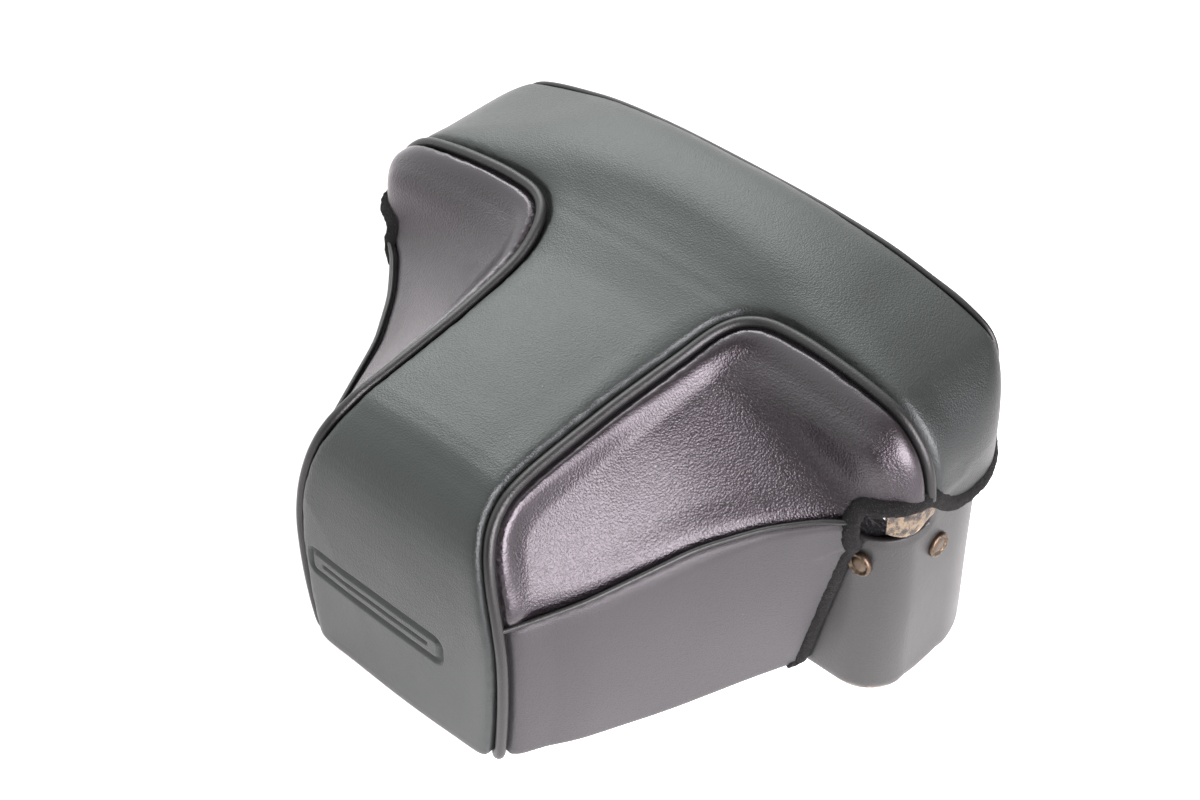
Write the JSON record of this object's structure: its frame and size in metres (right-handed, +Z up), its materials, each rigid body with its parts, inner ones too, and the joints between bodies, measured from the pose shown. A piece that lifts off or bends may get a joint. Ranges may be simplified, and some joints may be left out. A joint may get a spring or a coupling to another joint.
{
  "type": "half frame camera in a leather case",
  "caption": "Half frame reflex camera inside its closed black leather carrying case, with a lift-off snouted hood, piped seams and a riveted lower case.",
  "frame": {"origin": "bottom centre of the whole object's box", "axes": "+Z up, snout to -Y, +X along the camera's width to its left-hand side"},
  "size_m": [0.1414, 0.1036, 0.0783],
  "materials": {
    "panel_leather": "fine-grained calf, satin",
    "pocket_leather": "pebbled, glossy",
    "flap_leather": "smooth, matte",
    "case_leather": "smooth, satin",
    "piping_leather": "rolled, satin",
    "worn_leather": "worn, flaking to beige",
    "binding_felt": "fuzzy felted tape",
    "lining_felt": "short pile",
    "board": "fibre board",
    "rivet_metal": "aged nickel",
    "satin_chrome": "satin",
    "bright_chrome": "polished",
    "black_metal": "satin black",
    "body_casting": "cast, painted",
    "body_leatherette": "coarse grain",
    "steel": "brushed",
    "brass": "turned",
    "optic": "coated, polished",
    "mirror_glass": "polished",
    "dial_white": "matte",
    "spool_plastic": "moulded"
  },
  "bodies": {
    "case_and_camera": {"half_case_shell": "case_leather", "half_case_board": "board", "half_case_lining": "lining_felt", "corner_straps": "worn_leather", "case_rivets": "rivet_metal", "back_keeper": "case_leather", "top_cover": "satin_chrome", "bottom_cover": "satin_chrome", "tripod_socket": "brass", "chassis": "body_casting", "leatherette": "body_leatherette", "back_door": "body_leatherette", "door_hinge_pin": "steel", "film_gate": "black_metal", "mirror_box": "black_metal", "mirror_pin": "steel", "pressure_plate": "black_metal", "pressure_spring": "steel", "porro_prism": "optic", "eyepiece_frame": "black_metal", "eyepiece_lens": "optic", "film_cartridge": "satin_chrome", "lens_mount": "bright_chrome", "lens_barrel": "black_metal", "front_element": "optic", "rear_element": "optic", "iris_blades": "black_metal", "button_collar": "bright_chrome", "lever_screw": "bright_chrome", "counter_window": "optic", "counter_dial": "dial_white", "strap_lugs": "bright_chrome"},
    "hood": {"hood_top_panel": "panel_leather", "hood_back_panel": "panel_leather", "hood_side_panel_left": "pocket_leather", "hood_side_panel_right": "pocket_leather", "hood_lower_panel_left": "flap_leather", "hood_lower_panel_right": "flap_leather", "piping_left": "piping_leather", "piping_right": "piping_leather", "back_piping": "piping_leather", "lower_seam_cords": "piping_leather", "hood_binding": "binding_felt", "hood_lining": "lining_felt", "back_tongue": "panel_leather"},
    "lever": {"advance_lever": "bright_chrome"},
    "button": {"shutter_button": "bright_chrome"},
    "rewind": {"rewind_knob": "satin_chrome", "rewind_shaft": "steel", "film_spool": "spool_plastic"},
    "take_up": {"take_up_spool": "spool_plastic"},
    "sprocket_drum": {"sprocket": "black_metal"},
    "speed_dial": {"shutter_speed_dial": "satin_chrome"},
    "focus": {"focus_ring": "black_metal"},
    "aperture": {"aperture_ring": "satin_chrome"},
    "self_timer": {"self_timer_lever": "satin_chrome"},
    "reflex_mirror": {"mirror": "mirror_glass"},
    "shutter": {"shutter_disc": "steel"},
    "release_button": {"rewind_release_button": "steel"},
    "retaining_screw": {"case_screw": "brass"}
  },
  "joints": [
    {"name": "hood_lift", "type": "slide", "parent": "case_and_camera", "child": "hood", "axis": [0, 0, 1], "range_m": [0, 0.09]},
    {"name": "film_advance", "type": "hinge", "parent": "case_and_camera", "child": "lever", "pos_m": [-0.0435, 0.0294, 0.062], "axis": [0, 0, 1], "range_deg": [-130, 0], "stiffness_Nm_per_rad": 0.004, "springref_deg": 5.73},
    {"name": "shutter_release", "type": "slide", "parent": "case_and_camera", "child": "button", "axis": [0, 0, -1], "range_m": [0, 0.0012], "stiffness_N_per_m": 400, "springref_m": -0.001},
    {"name": "rewind_turn", "type": "hinge", "parent": "case_and_camera", "child": "rewind", "pos_m": [0.045, 0.0284, 0.062], "axis": [0, 0, 1], "continuous": true},
    {"name": "sprocket_turn", "type": "hinge", "parent": "case_and_camera", "child": "sprocket_drum", "pos_m": [-0.04, 0.0329, 0.03], "axis": [0, 0, 1], "continuous": true},
    {"name": "take_up_turn", "type": "hinge", "parent": "case_and_camera", "child": "take_up", "pos_m": [-0.053, 0.0284, 0.03], "axis": [0, 0, 1], "continuous": true},
    {"name": "speed_select", "type": "hinge", "parent": "case_and_camera", "child": "speed_dial", "pos_m": [-0.0265, 0.0099, 0.053], "axis": [0, -1, 0], "range_deg": [0, 300]},
    {"name": "focus_turn", "type": "hinge", "parent": "case_and_camera", "child": "focus", "pos_m": [0, -0.0071, 0.034], "axis": [0, -1, 0], "range_deg": [0, 170]},
    {"name": "aperture_turn", "type": "hinge", "parent": "case_and_camera", "child": "aperture", "pos_m": [0, 0.0049, 0.034], "axis": [0, -1, 0], "range_deg": [0, 70]},
    {"name": "self_timer_swing", "type": "hinge", "parent": "case_and_camera", "child": "self_timer", "pos_m": [0.03, 0.0109, 0.039], "axis": [0, -1, 0], "range_deg": [0, 90]},
    {"name": "mirror_swing", "type": "hinge", "parent": "case_and_camera", "child": "reflex_mirror", "pos_m": [0.0106, 0.0293, 0.034], "axis": [0, 0, 1], "range_deg": [0, 42]},
    {"name": "shutter_turn", "type": "hinge", "parent": "case_and_camera", "child": "shutter", "pos_m": [-0.0105, 0.0333, 0.034], "axis": [0, -1, 0], "continuous": true},
    {"name": "rewind_release", "type": "slide", "parent": "case_and_camera", "child": "release_button", "axis": [0, 0, 1], "range_m": [0, 0.001], "stiffness_N_per_m": 300, "springref_m": -0.001},
    {"name": "case_screw_turn", "type": "hinge", "parent": "case_and_camera", "child": "retaining_screw", "pos_m": [0, 0.0284, 0.003], "axis": [0, 0, 1], "continuous": true}
  ],
  "couplings": [
    {"joint": "sprocket_turn", "follows": "take_up_turn", "ratio": 1}
  ]
}
